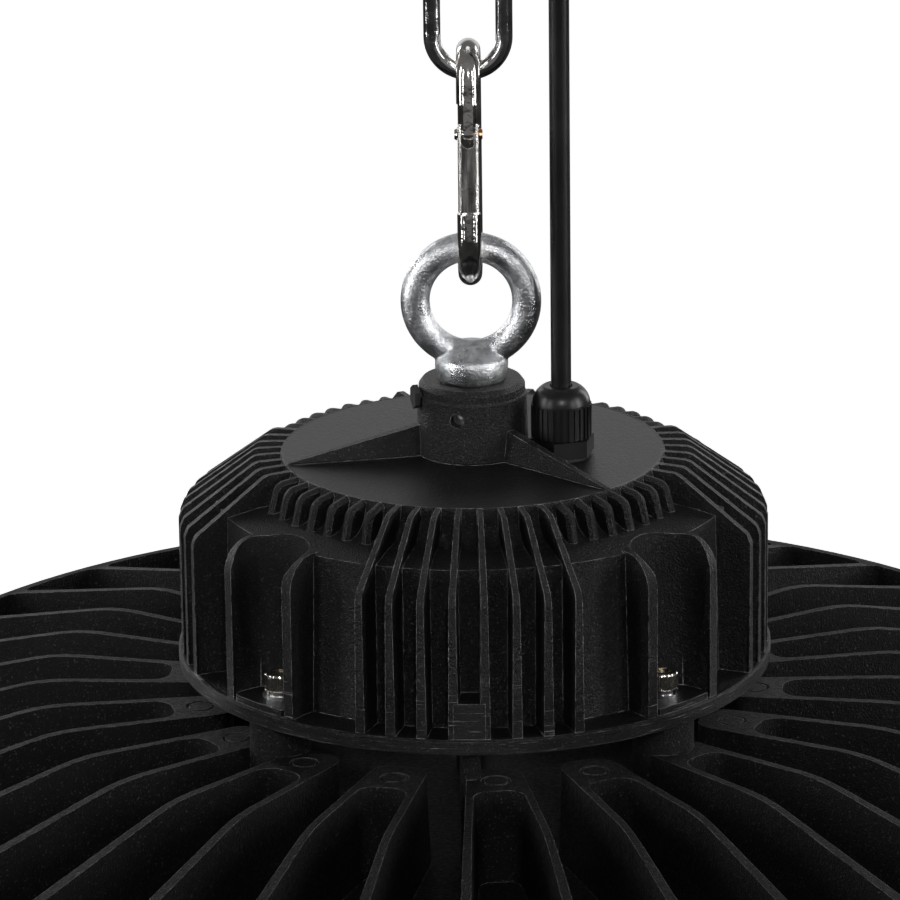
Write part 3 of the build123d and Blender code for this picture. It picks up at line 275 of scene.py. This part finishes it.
def powder_coat(name, drum):
    coat = Surface(name, 0.45, specular=0.28 if drum else 0.16)
    x, y, height = coat.axes()
    radius = coat.from_axis(x, y)
    grain = coat.noise(1700, 2.0, 0.65)
    pebble = coat.noise(620, 3.0, 0.55)
    cloud = coat.noise(38, 3.0, 0.5)
    edge, rounded = coat.edges(edge_width, 0.74, 0.91)
    # Painted edge highlight: pale grey mixed onto the edges in patches, stronger on the drum
    painted_edge_glint = coat.times(edge, coat.spread(coat.noise(330, 3.0, 0.6), 0.34, 0.56))
    base = coat.blend(coat.spread(cloud, 0.3, 0.7), coat_dark, coat_light)
    # Painted sparkle: pale specks scattered over the coat
    painted_sparkle = coat.spread(coat.noise(1500, 1.0, 0.5), 0.64, 0.72)
    base = coat.blend(coat.times(painted_sparkle, 0.45), base, sparkle_tone)
    base = coat.blend(coat.times(painted_edge_glint, 0.85 if drum else 0.42), base, edge_glint_tone)
    if drum:
        on_plate = smooth_plate(coat, height, radius)
        texture = coat.spread(on_plate, 0.0, 1.0, 1.0, 0.22)
        lines = coat.noise(1.0, 3.0, 0.7, coat.stretched(60, 60, 2600))
        turned = turned_foot(coat, height, radius)
        # Turned marks at the flange's foot: bumped lines, with grey painted on them as painted
        # glints
        turned_glints = coat.times(turned, coat.spread(lines, 0.62, 0.68))
        base = coat.blend(coat.times(turned_glints, 0.8), base, turned_glint_tone)
        layers = [
            (coat.times(grain, texture), 1.0, 0.0007),
            (coat.times(pebble, texture), 0.40, 0.0007),
            (coat.times(lines, turned), 0.8, 0.0020),
        ]
        matt = coat.spread(on_plate, 0.0, 1.0, 0.36, 0.33)
    else:
        layers = [(grain, 1.0, 0.0007), (pebble, 0.42, 0.0008)]
        matt = coat.spread(pebble, 0.3, 0.7, 0.44, 0.58)
    coat.roughen(coat.times(matt, coat.spread(edge, 0.0, 1.0, 1.0, 0.6)))
    coat.colour(base)
    coat.bumps(layers, rounded)
    return coat


drum_coat = powder_coat("drum_powder_coat", True)
sink_coat = powder_coat("sink_powder_coat", False)
dress(drum_coat, "driver_housing")
dress(sink_coat, "heat_sink", "lens_ring")


# Bright metals
def plated(name, tone, roughness, scratch, pit, stretch=(1, 1, 1), dark=0.82):
    """Metal with smears of a darker tone, fine scratches along the stretch and shallow pits."""
    metal = Surface(name, roughness, metallic=1.0)
    smear = metal.noise(90, 4.0, 0.6, metal.stretched(*stretch))
    fine = metal.noise(900, 3.0, 0.6, metal.stretched(*stretch))
    dark_tone = tuple(dark * part for part in tone)
    metal.colour(metal.blend(metal.spread(smear, 0.36, 0.64), dark_tone, tone))
    metal.roughen(metal.spread(smear, 0.3, 0.7, roughness * 0.7, roughness * 1.3))
    metal.bumps([(fine, scratch, 0.0003), (metal.noise(240, 3.0, 0.5), pit, 0.0009)])
    return metal


link_metal = plated("link_zinc", (0.84, 0.84, 0.84), 0.13, 0.12, 0.16, dark=0.6)
hook_metal = plated("hook_nickel", (0.92, 0.89, 0.86), 0.13, 0.08, 0.22, dark=0.62)
gate_metal = plated("gate_nickel", (0.92, 0.89, 0.86), 0.17, 0.30, 0.10, (9, 9, 0.35), dark=0.32)
eye_metal = plated("eye_zinc", (0.90, 0.91, 0.93), 0.34, 0.3, 0.3)
eye_patch = eye_metal.spread(eye_metal.noise(420, 4.0, 0.65), 0.35, 0.65)
eye_metal.colour(eye_metal.blend(eye_patch, (0.50, 0.51, 0.53), (0.80, 0.81, 0.83)))
eye_grain = eye_metal.noise(1400, 2.0, 0.7)
eye_dents = eye_metal.noise(380, 3.0, 0.55)
eye_metal.bumps([(eye_grain, 0.6, 0.0004), (eye_dents, 0.22, 0.0006)])
steel = plated("screw_steel", (0.66, 0.66, 0.66), 0.26, 0.12, 0.05)
spring_steel = plated("spring_wire", (0.45, 0.45, 0.46), 0.3, 0.1, 0.05)
brass = plated("contact_brass", (0.80, 0.62, 0.32), 0.25, 0.1, 0.05)
alloy = plated("sheet_alloy", (0.78, 0.78, 0.79), 0.38, 0.2, 0.02, (1, 12, 1))
dress(link_metal, "chain_link")
dress(hook_metal, "hook_body")
dress(gate_metal, "hook_gate")
dress(eye_metal, "eye_bolt")
dress(steel, "plain_washers", "spring_washers", "cover_screws", "board_screws")
dress(steel, "driver_screws", "housing_screws")
dress(spring_steel, "gate_spring", "eye_lock_screw")
dress(brass, "connector_pins")
dress(alloy, "bottom_cover")

# The rivet is coppery where its plating is rubbed off on the right
rivet_metal = plated("rivet_copper", (0.75, 0.73, 0.7), 0.25, 0.1, 0.1)
rivet_right = rivet_metal.spread(rivet_metal.axes()[0], 0.0, 0.002)
rivet_metal.colour(rivet_metal.blend(rivet_right, (0.6, 0.56, 0.52), (0.78, 0.38, 0.19)))
dress(rivet_metal, "gate_rivet")


# Plastics and rubbers
def moulded(name, tone, roughness, grain_scale, grain, specular=0.5):
    plastic = Surface(name, roughness, specular=specular)
    cloud = plastic.noise(60, 3.0, 0.5)
    lighter = tuple(min(1.0, part * 1.35 + 0.002) for part in tone)
    plastic.colour(plastic.blend(plastic.spread(cloud, 0.3, 0.7), tone, lighter))
    plastic.roughen(plastic.spread(cloud, 0.3, 0.7, roughness * 0.88, roughness * 1.12))
    plastic.bumps([(plastic.noise(grain_scale, 3.0, 0.6), grain, 0.0003)])
    return plastic


black_oxide = moulded("black_oxide", (0.016, 0.016, 0.017), 0.42, 900, 0.2)
gland_nylon = moulded("gland_nylon", (0.005, 0.005, 0.006), 0.34, 700, 0.12, specular=0.4)
cable_rubber = moulded("cable_sheath", (0.006, 0.006, 0.006), 0.36, 1200, 0.10, specular=0.35)
seal_rubber = moulded("seal_rubber", (0.014, 0.014, 0.014), 0.7, 900, 0.2)
connector_plastic = moulded("connector_plastic", (0.018, 0.018, 0.019), 0.45, 1100, 0.22)
silicone = moulded("silicone", (0.30, 0.30, 0.31), 0.6, 500, 0.1)
white_mask = moulded("white_solder_mask", (0.78, 0.78, 0.76), 0.35, 900, 0.06)
phosphor = moulded("led_phosphor", (0.85, 0.66, 0.13), 0.5, 1500, 0.1)
green_mask = moulded("green_solder_mask", (0.012, 0.11, 0.035), 0.32, 900, 0.1)
white_nylon = moulded("white_nylon", (0.66, 0.66, 0.63), 0.5, 700, 0.1)
ferrite = moulded("ferrite_core", (0.03, 0.028, 0.026), 0.5, 800, 0.25)
can_sleeve = moulded("can_sleeve", (0.02, 0.02, 0.035), 0.28, 700, 0.05)
green_terminal = moulded("terminal_green", (0.02, 0.18, 0.06), 0.4, 700, 0.1)
dress(black_oxide, "eye_stop_screw", "ring_screws")
dress(gland_nylon, "gland_body", "gland_nut", "gland_locknut")
dress(seal_rubber, "gland_seal", "gland_washer")
dress(cable_rubber, cable, "power_cable", "cable_tail")
dress(connector_plastic, "connector_nut", "connector_shell", "connector_insert")
dress(silicone, "housing_gasket", "lens_gasket")
dress(white_mask, "led_board")
dress(phosphor, "leds")
dress(green_mask, "driver_board")
dress(white_nylon, "driver_standoffs")
dress(black_oxide, "lead_tube")
dress(ferrite, "transformer")
dress(can_sleeve, "capacitors")
dress(green_terminal, "driver_terminal")

# Copper winding of the choke
winding = plated("choke_winding", (0.72, 0.33, 0.14), 0.3, 0.5, 0.05)
dress(winding, "choke")

# Milky optic plate
optic = Surface("optic_plate", 0.08, specular=0.5)
optic.shader.inputs["Transmission Weight"].default_value = 0.60
optic.shader.inputs["IOR"].default_value = 1.58
optic_cloud = optic.spread(optic.noise(40), 0.3, 0.7)
optic.colour(optic.blend(optic_cloud, (0.84, 0.86, 0.87), (0.87, 0.89, 0.90)))
optic.bumps([(optic.noise(300, 2.0, 0.5), 0.05, 0.0004)])
dress(optic, "lens_cover")

# Forged eye bolt: the ring runs into its neck with no sharp corner
eye = nodes["eye_bolt"]
forge = eye.modifiers.new("forge", "REMESH")
forge.mode = "VOXEL"
forge.voxel_size = 0.0005
forge.use_smooth_shade = True
soften = eye.modifiers.new("soften", "SMOOTH")
soften.factor = 0.5
soften.iterations = 5
swell = eye.modifiers.new("swell", "DISPLACE")
swell.mid_level = 0.0
swell.strength = 0.00035

# Socket cap screws in the drum's pockets, with a knurled head
screw_low, screw_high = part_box("housing_screws")
head_radius = 0.00425
head_height = 0.005
head_chamfer = 0.0003
crown_height = 0.0007
crown_width = 0.0009
knurl_teeth = 40
knurl_steps = 4
knurl_depth = 0.00016
socket_radius = 0.0023
socket_depth = 0.0026
socket_lip = 0.0002
shank_radius = 0.0025
shank_chamfer = 0.0005
plain, knurled, hexagon = range(3)


def cap_screw(mesh, spot, turn):
    """Adds one screw to a bmesh, from the shank's foot over the head into the socket."""
    top = screw_high.z
    neck = top - head_height
    rings = (
        (screw_low.z, shank_radius - shank_chamfer, plain),
        (screw_low.z + shank_chamfer, shank_radius, plain),
        (neck, shank_radius, plain),
        (neck, head_radius - head_chamfer, plain),
        (neck + head_chamfer, head_radius, knurled),
        (top - crown_height, head_radius, knurled),
        (top - 0.0002, head_radius - 0.0004, plain),
        (top, head_radius - crown_width, plain),
        (top, socket_radius * 1.08, hexagon),
        (top - socket_lip, socket_radius, hexagon),
        (top - socket_depth, socket_radius, hexagon),
    )
    sides = knurl_steps * knurl_teeth
    rows = []
    for height, radius, kind in rings:
        row = []
        for step in range(sides):
            angle = 2 * math.pi * step / sides
            reach = radius
            if kind == knurled and step % knurl_steps in (2, 3):
                reach -= knurl_depth
            if kind == hexagon:
                within = (angle + math.pi / 6) % (math.pi / 3) - math.pi / 6
                reach = radius * math.cos(math.pi / 6) / math.cos(within)
            x = spot[0] + reach * math.cos(angle + turn)
            y = spot[1] + reach * math.sin(angle + turn)
            row.append(mesh.verts.new((x, y, height)))
        rows.append(row)
    for lower, upper in zip(rows, rows[1:]):
        for step in range(sides):
            after = (step + 1) % sides
            mesh.faces.new((lower[step], lower[after], upper[after], upper[step]))
    mesh.faces.new(list(reversed(rows[0])))
    mesh.faces.new(rows[-1])


screw_bmesh = bmesh.new()
for index, turn in enumerate((0.3, 0.9, 0.1, 0.6)):
    angle = math.radians(45 + 90 * index)
    screw_spot = (screw_circle * math.cos(angle), screw_circle * math.sin(angle))
    cap_screw(screw_bmesh, screw_spot, turn)
screw_mesh = bpy.data.meshes.new("cap_screws")
screw_bmesh.to_mesh(screw_mesh)
screw_bmesh.free()
cap_screws = bpy.data.objects.new("cap_screws", screw_mesh)
scene.collection.objects.link(cap_screws)
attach(cap_screws, "lamp")
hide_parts("housing_screws")
dress(plated("cap_screw_nickel", (0.80, 0.76, 0.68), 0.16, 0.04, 0.02), cap_screws)

# Floor: pale and far below, so that the light side can be looked at from under the lamp
floor_drop = 4.0
floor_height = sink_low.z - floor_drop
floor_size = 30.0
floor_glow = 0.97
floor_in_metal = (0.26, 0.26, 0.26)
floor_mesh = bpy.data.meshes.new("floor")
floor_mesh.from_pydata(
    [
        (-floor_size, -floor_size, floor_height),
        (floor_size, -floor_size, floor_height),
        (floor_size, floor_size, floor_height),
        (-floor_size, floor_size, floor_height),
    ],
    [],
    [(0, 1, 2, 3)],
)
floor = bpy.data.objects.new("floor", floor_mesh)
scene.collection.objects.link(floor)
floor_surface = Surface("floor", 0.9, specular=0.1)
floor_path = floor_surface.add("ShaderNodeLightPath")
floor_pale = floor_surface.blend(floor_surface.noise(3.0), (0.80, 0.80, 0.80), (0.83, 0.83, 0.83))
floor_surface.colour(
    floor_surface.blend(floor_path.outputs["Is Glossy Ray"], floor_pale, floor_in_metal)
)
floor_surface.shader.inputs["Emission Color"].default_value = (1, 1, 1, 1)
floor_seen = floor_surface.spread(floor_path.outputs["Is Camera Ray"], 0.0, 1.0, 0.0, floor_glow)
floor_surface.link(floor_seen, floor_surface.shader.inputs["Emission Strength"])
floor_mesh.materials.append(floor_surface.material)

# World: white to the camera, dim light for the castings, and a dark room in what shines
room_light = 0.085
room_gloss = 0.16
backdrop_gloss = 0.60
world = bpy.data.worlds.new("studio")
scene.world = world
world.use_nodes = True
world_tree = world.node_tree
world_links = world_tree.links
path = world_tree.nodes.new("ShaderNodeLightPath")
ray = world_tree.nodes.new("ShaderNodeTexCoord")
ray_split = world_tree.nodes.new("ShaderNodeSeparateXYZ")
world_links.new(ray.outputs["Generated"], ray_split.inputs[0])


def sky(strength):
    node = world_tree.nodes.new("ShaderNodeBackground")
    node.inputs["Color"].default_value = (1, 1, 1, 1)
    if isinstance(strength, (int, float)):
        node.inputs["Strength"].default_value = strength
    else:
        world_links.new(strength, node.inputs["Strength"])
    return node.outputs[0]


def sky_ramp(value, low, high, to_low, to_high):
    node = world_tree.nodes.new("ShaderNodeMapRange")
    node.interpolation_type = "SMOOTHSTEP"
    for name, number in zip(ramp_inputs, (low, high, to_low, to_high)):
        node.inputs[name].default_value = number
    world_links.new(value, node.inputs["Value"])
    return node.outputs["Result"]


def sky_maths(operation, *values):
    node = world_tree.nodes.new("ShaderNodeMath")
    node.operation = operation
    for index, value in enumerate(values):
        if isinstance(value, (int, float)):
            node.inputs[index].default_value = value
        else:
            world_links.new(value, node.inputs[index])
    return node.outputs[0]


def sky_mix(factor, first, second):
    node = world_tree.nodes.new("ShaderNodeMixShader")
    world_links.new(factor, node.inputs[0])
    world_links.new(first, node.inputs[1])
    world_links.new(second, node.inputs[2])
    return node.outputs[0]


# In what shines, a pale backdrop stands low behind the lamp
behind = sky_ramp(ray_split.outputs[1], 0.72, 0.95, 0.0, 1.0)
low_down = sky_ramp(ray_split.outputs[2], 0.75, 0.20, 0.0, 1.0)
backdrop = sky_maths("MULTIPLY", behind, low_down)
gloss = sky_maths("MULTIPLY_ADD", backdrop, backdrop_gloss, room_gloss)
lit = sky_mix(path.outputs["Is Glossy Ray"], sky(room_light), sky(gloss))
seen = sky_maths("MAXIMUM", path.outputs["Is Camera Ray"], path.outputs["Is Transmission Ray"])
world_links.new(sky_mix(seen, lit, sky(1.0)), world_tree.nodes["World Output"].inputs["Surface"])


# Softboxes round the lamp, all aimed at the drum's top: name, place, width, height and watts
softboxes = (
    ("key_left", (-1.9, -0.4, 0.25), 0.30, 1.4, 14),
    ("back_left", (-1.2, 1.4, 0.3), 0.35, 1.3, 8),
    ("back_right", (1.3, 1.3, 0.3), 0.35, 1.3, 7),
    ("side_right", (1.9, -0.5, 0.25), 0.30, 1.4, 16),
    ("front_left", (-1.6, -1.4, 0.35), 0.22, 1.4, 9),
    ("front_right", (1.6, -1.4, 0.35), 0.22, 1.4, 9),
    ("front", (0.15, -2.0, 0.95), 0.22, 0.22, 12),
    ("overhead", (0.0, 0.55, 2.0), 0.8, 0.6, 2.2),
    ("underneath", (0.5, -0.5, -2.4), 0.9, 0.9, 22),
)
middle = Vector((0, 0, plate))
for name, spot, width, height, watts in softboxes:
    light = bpy.data.lights.new(name, "AREA")
    light.shape = "RECTANGLE"
    light.size = width
    light.size_y = height
    light.energy = watts
    softbox = bpy.data.objects.new(name, light)
    softbox.location = spot
    softbox.rotation_euler = (middle - Vector(spot)).to_track_quat("-Z", "Y").to_euler()
    scene.collection.objects.link(softbox)
